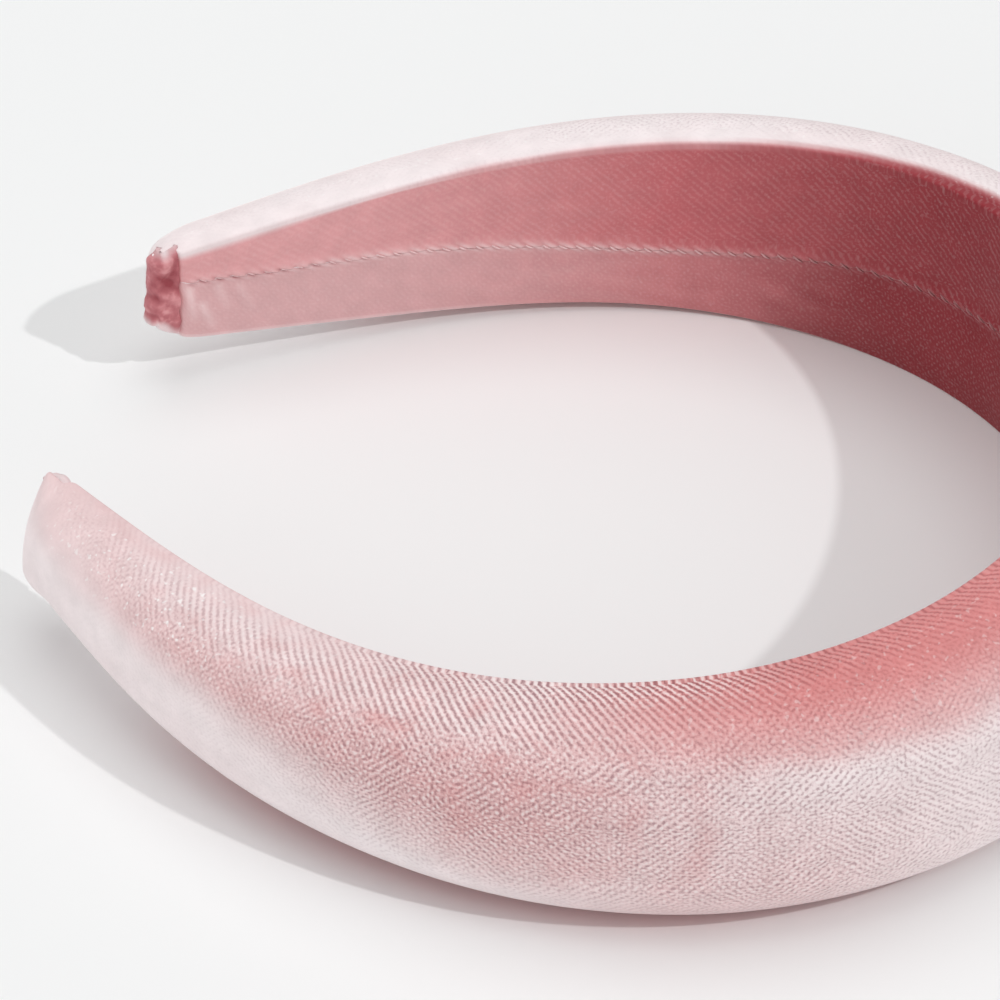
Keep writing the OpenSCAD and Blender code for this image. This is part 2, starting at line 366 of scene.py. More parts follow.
class Band:
    """The band's line, width, thickness and seam at a distance s along its inner face.

    s runs from the near tip, where it is negative, over the crown's middle to the far tip.
    """

    def __init__(self, sizes):
        self.sizes = sizes
        self.step = sizes.half_length / PATH_STEPS
        self.path = [(0.0, 0.0, math.pi / 2)]
        for i in range(PATH_STEPS):
            x, y, heading = self.path[-1]
            turn = column_at("bend", (i + 0.5) / PATH_STEPS) * self.step / sizes.crown_radius
            middle = heading + turn / 2
            self.path.append((x + self.step * math.cos(middle), y + self.step * math.sin(middle),
                              heading + turn))
        self.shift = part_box("padded_band")[1].x - sizes.crown_thick

    def share(self, s):
        return abs(s) / self.sizes.half_length

    def path_at(self, s):
        place = abs(s) / self.step
        i = min(int(place), PATH_STEPS - 1)
        x, y, heading = (mix(a, b, place - i) for a, b in zip(self.path[i], self.path[i + 1]))
        return (x, y, heading) if s >= 0 else (x, -y, math.pi - heading)

    def rounded(self, s, value, end_share):
        """A circular fall of a value to a share of it over the rounding of a tip."""
        start = self.sizes.half_length - self.sizes.end_round
        q = min(max((abs(s) - start) / self.sizes.end_round, 0.0), 1.0)
        return value * (1 - (1 - end_share) * (1 - math.sqrt(1 - q * q)))

    def full_width(self, s):
        return mix(self.sizes.tip_width, self.sizes.crown_width, column_at("width", self.share(s)))

    def width(self, s):
        return self.rounded(s, self.full_width(s), self.sizes.end_width / self.sizes.tip_width)

    def thick(self, s):
        full = mix(self.sizes.tip_thick, self.sizes.crown_thick, column_at("thick", self.share(s)))
        return self.rounded(s, full, self.sizes.end_thick / self.sizes.tip_thick)

    def middle(self, s):
        rise = self.sizes.tip_rise * max(0.0, column_at("rise", self.share(s)))
        pull = self.sizes.near_lift if s < 0 else self.sizes.far_lift
        lift = pull * (1 - self.rounded(s, 1, 0))
        return rise - self.sizes.rest_flat + self.full_width(s) / 2 + lift

    def seam(self, s):
        drawn_up = SEAM_DRAWN_UP * MM * near_tip(self.sizes, s, *SEAM_DRAW)
        return column_at("seam", self.share(s)) * self.width(s) / 2 + drawn_up

    def lay(self, s, out, up):
        """A point out from the inner face and up from the middle of the band."""
        x, y, heading = self.path_at(s)
        return Vector((self.shift + x + out * math.sin(heading), y - out * math.cos(heading),
                       max(0.0, self.middle(s) + up)))


def lap_points(band, s, side, fold, sunk):
    """The turned in velvet on one side of the seam: (out, up, place), from the seam to the edge."""
    sizes = band.sizes
    seam = band.seam(s)
    edge = band.width(s) / 2 - side * seam - sizes.edge_round
    bed = sizes.tuck_bed
    points = [(mix(-lift * MM, bed, sunk), away * MM) for lift, away in fold]
    start = fold[-1][1] * MM
    for i in range(1, LAP_POINTS + 1):
        share = i / LAP_POINTS
        lift = sizes.lap_bulge * math.sin(math.pi * share)
        points.append((mix(-lift, bed, sunk), mix(start, edge, share)))
    return [(out, seam + side * away, (1 - CORNER_PLACE) * away / edge) for out, away in points]


def end_taper(sizes, s, place):
    """Share of the thickness at a place round the dome: a tip falls off above and swells below."""
    above = (NEAR_FALL if s < 0 else FAR_FALL) * (1 - smooth(0.12, 0.54, place))
    return 1 + near_tip(sizes, s, TIP_FALL) * (TIP_SWELL * bell(place - 0.64, 0.2) - above)


def ring_at(band, s, sunk=0.0):
    """The cover's ring at s as (out, up, place), from the seam's upper side round to its lower.

    Place is -1 at the seam, 0 at the upper edge, 1 at the lower edge and 2 at the seam again.
    """
    sizes = band.sizes
    half = band.width(s) / 2
    thick = band.thick(s)
    base = sizes.tuck_bed * sunk
    radius = sizes.edge_round
    upper = [(out, up, share - 1) for out, up, share in lap_points(band, s, 1, UPPER_FOLD, sunk)]
    lower = [(out, up, 2 - share) for out, up, share in lap_points(band, s, -1, LOWER_FOLD, sunk)]
    first = math.asin(((base + radius) / thick) ** (1 / DOME_POWER))
    dome = []
    for i in range(DOME_POINTS + 1):
        angle = mix(first, math.pi - first, i / DOME_POINTS)
        out = thick * math.sin(angle) ** DOME_POWER
        if 0 < i < DOME_POINTS:
            out = mix(base + radius, out, end_taper(sizes, s, angle / math.pi))
        up = half * signed_power(math.cos(angle), SIDE_POWER)
        dome.append((out, up, angle / math.pi))
    full = sizes.near_full * bell(s - NEAR_FULLEST * MM, NEAR_FULL_SPREAD * MM)
    top = []
    for i in range(1, CORNER_POINTS + 1):
        share = i / (CORNER_POINTS + 1)
        angle = math.pi / 2 * share
        top.append((base + radius * (1 - math.cos(angle)), half - radius * (1 - math.sin(angle)),
                    -CORNER_PLACE * (1 - share)))
    bottom = [(out, -up, 1 - place) for out, up, place in reversed(top)]
    ring = upper + top + dome + bottom + lower[::-1]
    return [(out, up + full * smooth(0.3, 1.0, up / half), place) for out, up, place in ring]


def cover_rings(band):
    """Every ring of the cover from the near tip to the far one, as (s, points)."""
    return arm_rings(band, -1)[:0:-1] + arm_rings(band, 1)


def arm_rings(band, side):
    """The rings of one arm from the crown's middle to the tip, and those that close the tip."""
    sizes = band.sizes
    bed_start = sizes.half_length - sizes.tuck_length
    count = round(bed_start / sizes.ring_pitch)
    half = [(bed_start * i / count, 0.0) for i in range(count + 1)]
    half.append((bed_start + BED_STEP * MM, 1.0))
    for i in range(1, TUCK_RINGS + 1):
        half.append((bed_start + sizes.tuck_length * math.sin(math.pi / 2 * i / TUCK_RINGS), 1.0))
    rings = [(side * s, ring_at(band, side * s, sunk)) for s, sunk in half]
    end = rings[-1][1]
    middle = (sizes.tuck_bed + sizes.end_thick) / 2
    for past, size in CLOSING_RINGS:
        points = [(middle + (out - middle) * size, up * size, place) for out, up, place in end]
        rings.append((side * (sizes.half_length + past * MM), points))
    return rings


def cloth_places(band, rings):
    """Where each point of each ring lies on the flat velvet, in metres along and across it."""
    along = [0.0]
    for (s, _), (after, _) in zip(rings, rings[1:]):
        middle = (s + after) / 2
        out = CLOTH_LINE * band.thick(middle)
        step = (band.lay(after, out, 0) - band.lay(s, out, 0)).xy.length
        along.append(along[-1] + step)
    half = along[-1] / 2
    places = []
    for u, (_, points) in zip(along, rings):
        arc = [0.0]
        for (out_a, up_a, _), (out_b, up_b, _) in zip(points, points[1:]):
            arc.append(arc[-1] + math.hypot(out_b - out_a, up_b - up_a))
        places.append([(u - half, a - arc[-1] / 2) for a in arc])
    return places


def roll_cover(band):
    """The velvet as a flat sheet, rolled round the padding and sewn shut along its edges."""
    rings = cover_rings(band)
    cloth = cloth_places(band, rings)
    rows = len(rings) - 1
    columns = len(rings[0][1]) - 1
    bm = bmesh.new()
    bmesh.ops.create_grid(bm, x_segments=rows, y_segments=columns, size=1)
    along = bm.verts.layers.float.new("along")
    around = bm.verts.layers.float.new("around")
    away = bm.verts.layers.float.new("away")
    velvet = bm.loops.layers.uv.new("velvet")
    places = {}
    for vert in bm.verts:
        places[vert] = (round((vert.co.x + 1) / 2 * rows), round((vert.co.y + 1) / 2 * columns))
    for face in bm.faces:
        for loop in face.loops:
            i, j = places[loop.vert]
            loop[velvet].uv = cloth[i][j]
    for vert, (i, j) in places.items():
        s, points = rings[i]
        out, up, place = points[j]
        vert.co = band.lay(s, out, up)
        vert[along] = s
        vert[around] = place
        vert[away] = up - band.seam(s)
    bmesh.ops.remove_doubles(bm, verts=bm.verts, dist=0.01 * MM)
    bmesh.ops.recalc_face_normals(bm, faces=bm.faces)
    return bm


def mesh_object(name, bm, material):
    """A finished bmesh as an object at the origin, shaded smooth, with its material."""
    mesh = bpy.data.meshes.new(name)
    bm.to_mesh(mesh)
    bm.free()
    mesh.materials.append(material)
    mesh.shade_smooth()
    obj = bpy.data.objects.new(name, mesh)
    bpy.context.scene.collection.objects.link(obj)
    return obj


def apply_modifiers(obj):
    """Replaces an object's mesh by what its modifiers make of it."""
    graph = bpy.context.evaluated_depsgraph_get()
    made = bpy.data.meshes.new_from_object(obj.evaluated_get(graph), preserve_all_data_layers=True,
                                           depsgraph=graph)
    obj.modifiers.clear()
    old = obj.data
    obj.data = made
    bpy.data.meshes.remove(old)


def refine(obj, levels):
    """Subdivides a piece smoothly and keeps its cloth places as they lie."""
    finer = obj.modifiers.new("finer", "SUBSURF")
    finer.levels = levels
    finer.render_levels = levels
    finer.uv_smooth = "NONE"
    apply_modifiers(obj)


def values(mesh, name):
    """The numbers of a mesh's attribute, vertex by vertex."""
    found = [0.0] * len(mesh.vertices)
    mesh.attributes[name].data.foreach_get("value", found)
    return found


def store(mesh, name, numbers):
    """Keeps a number for each vertex, for the materials to read."""
    mesh.attributes.new(name, "FLOAT", "POINT").data.foreach_set("value", numbers)


def swell(obj, slack):
    """Lets the padding press the velvet out between its sewn edges, as simulated cloth.

    It is worked out SWELL_SCALE times as large, because the solver is tuned for larger things.
    """
    mesh = obj.data
    scene = bpy.context.scene
    mesh.calc_loop_triangles()
    places = values(mesh, "around")
    free = [smooth(0.02, 0.1, place) * smooth(0.98, 0.9, place) for place in places]
    start = [v.co + v.normal * slack * f * (START_FULL - START_FLAT * bell(place - 0.5, 0.22))
             for v, f, place in zip(mesh.vertices, free, places)]
    for vert, co in zip(mesh.vertices, start):
        vert.co = co * SWELL_SCALE
    sewn = obj.vertex_groups.new(name="sewn")
    for i, share in enumerate(free):
        sewn.add([i], 1 - share, "REPLACE")
    cloth = obj.modifiers.new("swelling", "CLOTH")
    cloth.settings.use_pressure = True
    cloth.settings.uniform_pressure_force = 4
    cloth.settings.mass = 0.02
    cloth.settings.effector_weights.gravity = 0
    cloth.settings.vertex_group_mass = sewn.name
    cloth.point_cache.frame_start = 1
    cloth.point_cache.frame_end = SWELL_FRAMES
    for number in range(1, SWELL_FRAMES + 1):
        scene.frame_set(number)
    apply_modifiers(obj)
    for vert, co, share in zip(obj.data.vertices, start, free):
        moved = vert.co / SWELL_SCALE - co
        if moved.length > 2 * slack:
            moved *= 2 * slack / moved.length
        vert.co = co + moved * share
        vert.co.z = max(0.0, vert.co.z)
    obj.vertex_groups.clear()
    scene.frame_set(1)


def line_share(x, y, start, end):
    """How far along a line the nearest point is, and how far off the line the place lies."""
    dx, dy = end[0] - start[0], end[1] - start[1]
    share = ((x - start[0]) * dx + (y - start[1]) * dy) / (dx * dx + dy * dy)
    share = min(max(share, 0.0), 1.0)
    return share, math.hypot(x - start[0] - share * dx, y - start[1] - share * dy)


def stitch_phase(sizes, s, away):
    """Turns of the stitching at a place beside the seam: a whole number on each stitch."""
    return (s - STITCH_SLANT * away) / sizes.stitch_pitch


def stitched(sizes, drawn, s, away):
    """How far the velvet at a place beside the seam is puffed up and pricked in, from 0 to 1."""
    sewn_end = sizes.half_length - sizes.tuck_length - 1 * MM
    ending = 1 - smooth(sewn_end - 1 * MM, sewn_end, abs(s))
    phase = stitch_phase(sizes, s, away)
    puffed = 0.5 + 0.5 * math.cos(math.tau * phase)
    pricked = 0.5 - 0.5 * math.cos(math.tau * (phase - 0.1))
    pull = drawn[round(phase) + STITCH_DRAWS // 2] * mix(0.15, 1.0, smooth(*PULLED, abs(s) / MM))
    middle, spread = PUFF_ACROSS
    high = ending * (0.25 + 0.75 * puffed) * bell(away - middle * MM, spread * MM)
    middle, spread = PRICK_ACROSS
    low = ending * pull * pricked ** 3 * bell(away - middle * MM, spread * MM)
    return high, low


def puckered(sizes, s, away):
    """Height of the short folds at a place on the lower lap, in metres, and how pale they are."""
    # How pale a fold is gives the painted highlight on its ridge
    from_tip = (sizes.half_length - abs(s)) / MM
    height = pale = 0.0
    for fold in PUCKERS:
        share, off = line_share(from_tip, -away / MM, (fold.start, fold.under),
                                (fold.end, fold.end_under))
        ridge = bell(off, 0.75) * (1 - 0.6 * share)
        height += fold.height * MM * ridge
        pale = max(pale, 0.8 * ridge * fold.height / PUCKER_FULL)
    return height, pale


def sew(obj, band):
    """Puffs and pricks the velvet along its seam and gathers it beside the tips.

    Keeps how far each place is raised and how far it is drawn in, from 0 to 1, as painted highlight
    on the puffs and folds and painted shade in the pricks.
    """
    sizes = band.sizes
    mesh = obj.data
    shaker = random.Random(7)
    drawn = [shaker.uniform(0.45, 1.0) for _ in range(STITCH_DRAWS)]
    raised_highlight = []
    sunk = []
    normals = [v.normal.copy() for v in mesh.vertices]
    told_here = (values(mesh, name) for name in ("along", "around", "away"))
    for vert, normal, s, place, away in zip(mesh.vertices, normals, *told_here):
        high = low = 0.0
        if (place < -0.05 or place > 1.05) and abs(away) < 12 * MM:
            high, low = stitched(sizes, drawn, s, away)
            lift = sizes.puff * high - sizes.prick * low
            high *= 1 - 0.6 * smooth(*PUFFS_DULL, abs(s) / MM)
            if place > 1.05:
                height, pale = puckered(sizes, s, away)
                lift += height
                high = max(high, pale)
            vert.co += normal * lift
            vert.co.z = max(0.0, vert.co.z)
        raised_highlight.append(high * mix(0.2, 1.0, smooth(*PUFFS_PALE, abs(s) / MM)))
        sunk.append(low)
    store(mesh, "raised_highlight", raised_highlight)
    store(mesh, "sunk", sunk)


def nap_at(s):
    """The row of NAPS at s, between its neighbours."""
    at = s / MM
    for row, after in zip(NAPS, NAPS[1:]):
        if at <= after.at:
            break
    share = min(max((at - row.at) / (after.at - row.at), 0.0), 1.0)
    return Nap(*(mix(a, b, share) for a, b in zip(row, after)))


def turned_in(at_mm, far, place, lumps, rim):
    """How far the pile lies as on the inner face, which it turns into over both edges."""
    line = mix(-0.02, mix(0.045, -0.022, smooth(*FAR_EDGE, at_mm)), far)
    line -= 0.02 * smooth(*FAR_END, at_mm)
    outward = 0.02 + 0.012 * smooth(*FAR_EDGE_SOFT, at_mm)
    inward = outward + 0.17 * smooth(*FAR_END_SOFT, at_mm)
    above = smooth(line + outward, line - inward, place + 0.006 * lumps)
    return max(above, smooth(1.0 + 0.005 * rim, 1.03 + 0.02 * rim, place))


def inner_colour(at_mm, lumps, lower):
    """How flushed, deepened and greyed the pile of the inner face is."""
    # The deepening towards the crown is partly painted shade inside the bend
    deep = 1 - smooth(*INNER_FADE, abs(at_mm) + 4 * lumps)
    depth = max(0.0, 2 * deep - 1)
    if lower:
        sooner = min(0.92, depth * (1 + 0.3 * smooth(0.2, 0.6, depth)))
        return min(1.0, 2 * deep), max(depth, sooner), 0.6 * (1 - deep) ** 1.4
    return min(1.0, 2 * deep), 0.95 * depth, 0.0


def outer_rose(nap, s, at, ragged, place):
    """How far the pile of the dome is brushed the other way: in a band along its top, and in blotches."""
    rose = nap.depth * (1 - smooth(nap.rose - 0.07, nap.rose + 0.05, ragged))
    rose *= 0.93 - 0.38 * smooth(0.06, nap.rose - 0.03, at)
    blotches = max(0.0, noise.noise(Vector((s / 0.004, place * 16, 9))))
    blotches *= nap.fleck * smooth(nap.speckle, nap.speckle - 0.25, at) * smooth(*BLOTCHED, s / MM)
    return max(rose, 0.7 * blotches)


def lay_nap(obj):
    """Keeps on each vertex how the pile lies there.

    Ribs says how clear the ribs are; then come how strong their relief and the painted shade in their
    grooves are, how much painted highlight their backs get, which way they lean and how many tufts get
    a painted glint. The painted sheen and the rose tell the colour outside; inside, flushed, deepened
    and greyed tell how it changes along the inner face to the crown, the deepening partly as painted
    shade.
    """
    mesh = obj.data
    rows = []
    for s, place in zip(values(mesh, "along"), values(mesh, "around")):
        at_mm = s / MM
        lumps = noise.noise(Vector((s / 0.009, place * 6, 0)))
        far = smooth(*FAR_SIDE, at_mm)
        rim = smooth(*SHEEN_RIM, abs(at_mm))
        inside = turned_in(at_mm, far, place, lumps, rim)
        lower = place > 0.5
        flushed, deepened, greyed = (inside * share for share in inner_colour(at_mm, lumps, lower))
        if inside >= 1:
            rows.append((INNER_RIBS[lower], *INNER_PILE, 1.0, flushed, deepened, greyed))
            continue
        nap = nap_at(s)
        at = min(max(place, 0.0), 1.0)
        ragged = at + 0.025 * lumps
        ribs = 1 - smooth(nap.stripes - 0.12, nap.stripes + 0.20, ragged)
        grain_and_groove_shade = mix(nap.edge, nap.fleck, smooth(0.02, nap.stripes + 0.08, at))
        grain_and_groove_shade *= 1 - 0.8 * smooth(nap.speckle - 0.16, nap.speckle + 0.08, ragged)
        grain_and_groove_shade *= 1 - 0.7 * max(far, smooth(*NEAR_CALM, at_mm)) * (1 - smooth(0.02, 0.1, at))
        under = smooth(0.76, 0.86, at - 0.05 * smooth(*UNDER_LOWER, at_mm))
        under *= (1 - smooth(*UNDER_END, abs(at_mm))) * (1 - rim * smooth(0.95, 1.0, at))
        onset = 0.38 + 0.17 * smooth(*LATE_SHINE, at_mm) - 0.08 * smooth(*EARLY_SHINE, at_mm)
        # Painted sheen: the dome's colour pales where the pile shines
        painted_sheen = mix(nap.top, nap.middle, smooth(0.06, 0.34, at))
        painted_sheen = mix(painted_sheen, nap.low, smooth(onset - 0.1, onset + 0.1, at)) + 0.08 * lumps
        painted_sheen *= 1 - 0.9 * under
        rose = outer_rose(nap, s, at, ragged, place)
        # Painted highlight on the backs of the ribs and painted shade in their grooves, weaker in the rose
        grain_and_groove_shade *= 1 - 0.5 * rose * smooth(0.03, 0.09, at)
        lit = grain_and_groove_shade * (1 - 0.85 * rose * max(smooth(0.02, 0.12, at), smooth(0.8, 1.0, nap.depth)))
        slope = nap.slope + 1.6 * noise.noise(Vector((s / 0.007, place * 9, 5)))
        # Painted glints on single tufts
        glitter = nap.glitter * (1 - smooth(0.26, 0.42, at)) * smooth(0.0, 0.06, at)
        rose = max(rose, under)
        flushed = max(flushed, 0.7 * under * (1 - inside))
        rows.append((ribs, grain_and_groove_shade, lit, slope, glitter, painted_sheen, rose, inside, flushed, deepened, greyed))
    for name, numbers in zip(LIES, zip(*rows)):
        store(mesh, name, numbers)


def add_node(tree, kind, links=None, **settings):
    """Adds a shader node. links maps its inputs to nodes, sockets or values, settings are its own."""
    node = tree.nodes.new("ShaderNode" + kind)
    for name, value in settings.items():
        setattr(node, name, value)
    for name, value in (links or {}).items():
        socket = node.inputs[name]
        if isinstance(value, bpy.types.Node):
            value = value.outputs[0]
        if isinstance(value, bpy.types.NodeSocket):
            tree.links.new(value, socket)
        else:
            socket.default_value = value
    return node


def new_material(name):
    """An empty node material and its tree."""
    material = bpy.data.materials.new(name)
    material.use_nodes = True
    material.node_tree.nodes.clear()
    return material, material.node_tree


def coated(tree, nap, coats):
    """A colour with others laid over it, each by its own share."""
    for share, coat in coats:
        nap = add_node(tree, "Mix", {"Factor": share, "A": nap, "B": coat}, data_type="RGBA")
        nap = nap.outputs["Result"]
    return nap


def rib_family(tree, place, warp, pitch, way):
    """Waves across one family of slanting ribs, from -1 in a groove to 1 on a rib."""
    across = add_node(tree, "Math", {0: place.outputs["X"], 1: place.outputs["Y"]}, operation=way)
    per_metre = math.sqrt(0.5) / pitch
    turns = add_node(tree, "Math", {0: across, 1: per_metre, 2: warp}, operation="MULTIPLY_ADD")
    radians = add_node(tree, "Math", {0: turns, 1: math.tau}, operation="MULTIPLY")
    return add_node(tree, "Math", {0: radians}, operation="COSINE")


def wander(tree, place, size, amount):
    """Soft noise round zero, with lumps of one size in millimetres."""
    lumps = add_node(tree, "TexNoise", {"Vector": place, "Scale": 1 / (size * MM), "Detail": 2.0})
    centred = add_node(tree, "Math", {0: lumps, 1: 0.5}, operation="SUBTRACT")
    return add_node(tree, "Math", {0: centred, 1: amount}, operation="MULTIPLY")


def pile_pattern(tree, sizes, ribs, slope):
    """Light and dark of the pile, 0 to 1: clear slanting ribs that break up into flecks."""
    place = add_node(tree, "UVMap", uv_map="velvet")
    axes = add_node(tree, "SeparateXYZ", {"Vector": place})
    specks, calm, loose, torn, astray = (wander(tree, place, *lumps) for lumps in UNEVEN)
    finer = 0.88 * sizes.rib_pitch
    rib = rib_family(tree, axes, calm, sizes.rib_pitch, "SUBTRACT")
    falling = rib_family(tree, axes, loose, finer, "SUBTRACT")
    rising = rib_family(tree, axes, astray, finer, "ADD")
    crossed = add_node(tree, "Mix", {"Factor": slope, "A": rising, "B": falling})
    woven = add_node(tree, "Math", {0: falling, 1: rising}, operation="MULTIPLY")
    sums = []
    for total, parts in ((0.55, ((specks, 2.1), (rib, 0.5))),
                         (0.5, ((specks, 2.1), (woven, 0.22), (crossed, 0.26)))):
        for part, weight in parts:
            total = add_node(tree, "Math", {0: part, 1: weight, 2: total}, operation="MULTIPLY_ADD")
        total.use_clamp = True
        sums.append(total)
    stripes, flecks = sums
    clear = add_node(tree, "Math", {0: torn, 1: ribs}, operation="ADD")
    clear = add_node(tree, "MapRange", {"Value": clear, "From Min": 0.25, "From Max": 0.75})
    return add_node(tree, "Mix", {"Factor": clear, "A": flecks, "B": stripes}), specks


def velvet(sizes, colours):
    """Cut pile velvet with slanting ribs.

    Woven with a short cut pile over slanting ribs: it scatters light softly and shines pale where
    it is seen along the pile, and deep where the pile is brushed towards the eye. The pale shine is
    painted sheen, laid into the colour by place; the backs of the ribs and single tufts carry painted
    highlight and the grooves painted shade. The pile itself is too fine to show, so its flecks are
    drawn at about half a millimetre.
    """
    material, tree = new_material("cut pile velvet")
    lies = {name: add_node(tree, "Attribute", attribute_name=name).outputs["Fac"]
            for name in (*LIES, "raised_highlight", "sunk")}
    pattern, specks = pile_pattern(tree, sizes, lies["ribs"], lies["slope"])
    place = add_node(tree, "UVMap", uv_map="velvet")
    clouds = wander(tree, place, *CLOUDS)
    tufts = add_node(tree, "TexNoise", {"Vector": place, "Scale": 1 / (TUFT_SIZE * MM), "Detail": 1.0})
    # Painted highlight on the backs of the ribs, painted shade in their grooves, painted glints on tufts
    lift = {"Value": pattern, "From Min": 0.5, "To Max": 0.7}
    groove_shade = {"Value": pattern, "From Max": 0.5, "To Min": 1.0, "To Max": 0.0}
    glint = {"Value": tufts, "From Min": 0.63, "From Max": 0.70, "To Max": 0.8}
    parts = []
    for ends, share in ((lift, "lit"), (groove_shade, "grain_and_groove_shade"), (glint, "glitter")):
        part = add_node(tree, "MapRange", ends)
        parts.append(add_node(tree, "Math", {0: part, 1: lies[share]}, operation="MULTIPLY"))
    lift, groove_shade, glint = parts
    # Painted highlight on the puffs of the seam and the folds beside the tips
    raised_highlight = add_node(tree, "Math", {0: lies["raised_highlight"], 1: 0.85}, operation="MULTIPLY")
    puffed = coated(tree, (*colours.thread, 1), [(lies["deepened"], (*colours.flush, 1))])
    nap = coated(tree, (*colours.dusty, 1), (
        (lies["painted_sheen"], (*colours.painted_sheen, 1)),
        (lies["rose"], (*colours.rose, 1)),
        (lies["inside"], (*colours.turned, 1)),
        (lies["flushed"], (*colours.flush, 1)),
        (lies["deepened"], (*colours.deep, 1)),
        (lies["greyed"], (*colours.shaded, 1)),
        (raised_highlight, puffed),
        # Painted shade in the pricks under the stitches
        (lies["sunk"], (*colours.crease_shade, 1)),
        (lift, LIT_RIB),
        (glint, LIT_TUFT),
    ))
    cloud = add_node(tree, "Math", {0: clouds, 1: 1.0}, operation="ADD")
    nap = add_node(tree, "VectorMath", {0: nap, "Scale": cloud}, operation="SCALE")
    groove = add_node(tree, "VectorMath", {0: nap, 1: GROOVE_SHADE_KEEPS}, operation="MULTIPLY")
    nap = coated(tree, nap, [(groove_shade, groove)])
    relief = add_node(tree, "Math", {0: pattern, 1: lies["grain_and_groove_shade"]}, operation="MULTIPLY")
    relief = add_node(tree, "Math", {0: specks, 1: 0.25, 2: relief}, operation="MULTIPLY_ADD")
    bump = add_node(tree, "Bump", {"Height": relief, "Strength": 1.0, "Distance": 0.10 * MM})
    shader = add_node(tree, "BsdfPrincipled",
                      {"Base Color": nap, "Roughness": 0.75, "Sheen Weight": 0.85, "Sheen Roughness": 0.35,
                       "Sheen Tint": (1, 0.92, 0.92, 1), "Specular IOR Level": 0.25, "Normal": bump})
    add_node(tree, "OutputMaterial", {"Surface": shader})
    return material


def gathered_velvet(colours):
    """The same velvet gathered and crushed into the ends.

    Crushed pile stands every way, so it looks deep and saturated, and pale only on its folds. Its
    colour carries painted shade in the valleys of the folds and painted highlight on their ridges, and
    is paled in the colour of the painted sheen at the lower end, on top and along the rims.
    """
    material, tree = new_material("crushed velvet")
    place = add_node(tree, "TexCoord").outputs["Object"]
    lies = {name: add_node(tree, "Attribute", attribute_name=name).outputs["Fac"]
            for name in ("fold", "pale")}
    specks = wander(tree, place, 0.5, 1.0)
    cloud = wander(tree, place, 1.6, 1.2)
    fold = add_node(tree, "Math", {0: lies["fold"], 1: cloud}, operation="ADD", use_clamp=True)
    high = add_node(tree, "MapRange", {"Value": fold, "From Min": 0.6, "To Max": 0.75})
    # Painted shade in the valleys of the folds, painted highlight on their ridges, paler places in the
    # painted sheen's colour
    nap = coated(tree, (*colours.crease_shade, 1), (
        (fold, (*colours.tuck, 1)),
        (high, (*colours.turned, 1)),
        (lies["pale"], (*colours.painted_sheen, 1)),
    ))
    bump = add_node(tree, "Bump", {"Height": specks, "Strength": 1.0, "Distance": 0.1 * MM})
    shader = add_node(tree, "BsdfPrincipled",
                      {"Base Color": nap, "Roughness": 0.8, "Sheen Weight": 0.35, "Sheen Roughness": 0.35,
                       "Sheen Tint": (1, 0.9, 0.9, 1), "Specular IOR Level": 0.25, "Normal": bump})
    add_node(tree, "OutputMaterial", {"Surface": shader})
    return material


def sewing_thread(colours):
    """Spun polyester sewing thread: twisted, soft and a little glossy."""
    material, tree = new_material("polyester sewing thread")
    place = add_node(tree, "TexCoord").outputs["Object"]
    twist = add_node(tree, "TexWave", {"Vector": place, "Scale": WAVE_REPEAT / (TWIST * MM)},
                     bands_direction="DIAGONAL").outputs["Fac"]
    turns = add_node(tree, "Math", {0: twist, 1: 0.25}, operation="MULTIPLY")
    # Partly painted shade: the thread darkens towards the crown, as the inner face does
    depth = add_node(tree, "Attribute", attribute_name="depth").outputs["Fac"]
    nap = coated(tree, (*colours.thread, 1), ((depth, (*colours.deep, 1)), (turns, (*colours.turned, 1))))
    bump = add_node(tree, "Bump", {"Height": twist, "Distance": 0.03 * MM})
    shader = add_node(tree, "BsdfPrincipled",
                      {"Base Color": nap, "Roughness": 0.6, "Sheen Weight": 0.2, "Normal": bump})
    add_node(tree, "OutputMaterial", {"Surface": shader})
    return material


class HEADBAND_OT_velvet_cover(bpy.types.Operator):
    """Roll the velvet round the padding, let the padding swell it and sew it shut"""

    bl_idname = "headband.velvet_cover"
    bl_label = "Velvet Cover"

    def execute(self, context):
        scene = context.scene
        sizes = scene.headband_sizes
        band = Band(sizes)
        cover = mesh_object("velvet_cover", roll_cover(band), velvet(sizes, scene.headband_colours))
        swell(cover, sizes.slack)
        refine(cover, 2)
        sew(cover, band)
        lay_nap(cover)
        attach(cover, "root")
        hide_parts("padded_band", "lap_upper", "lap_lower")
        return {"FINISHED"}


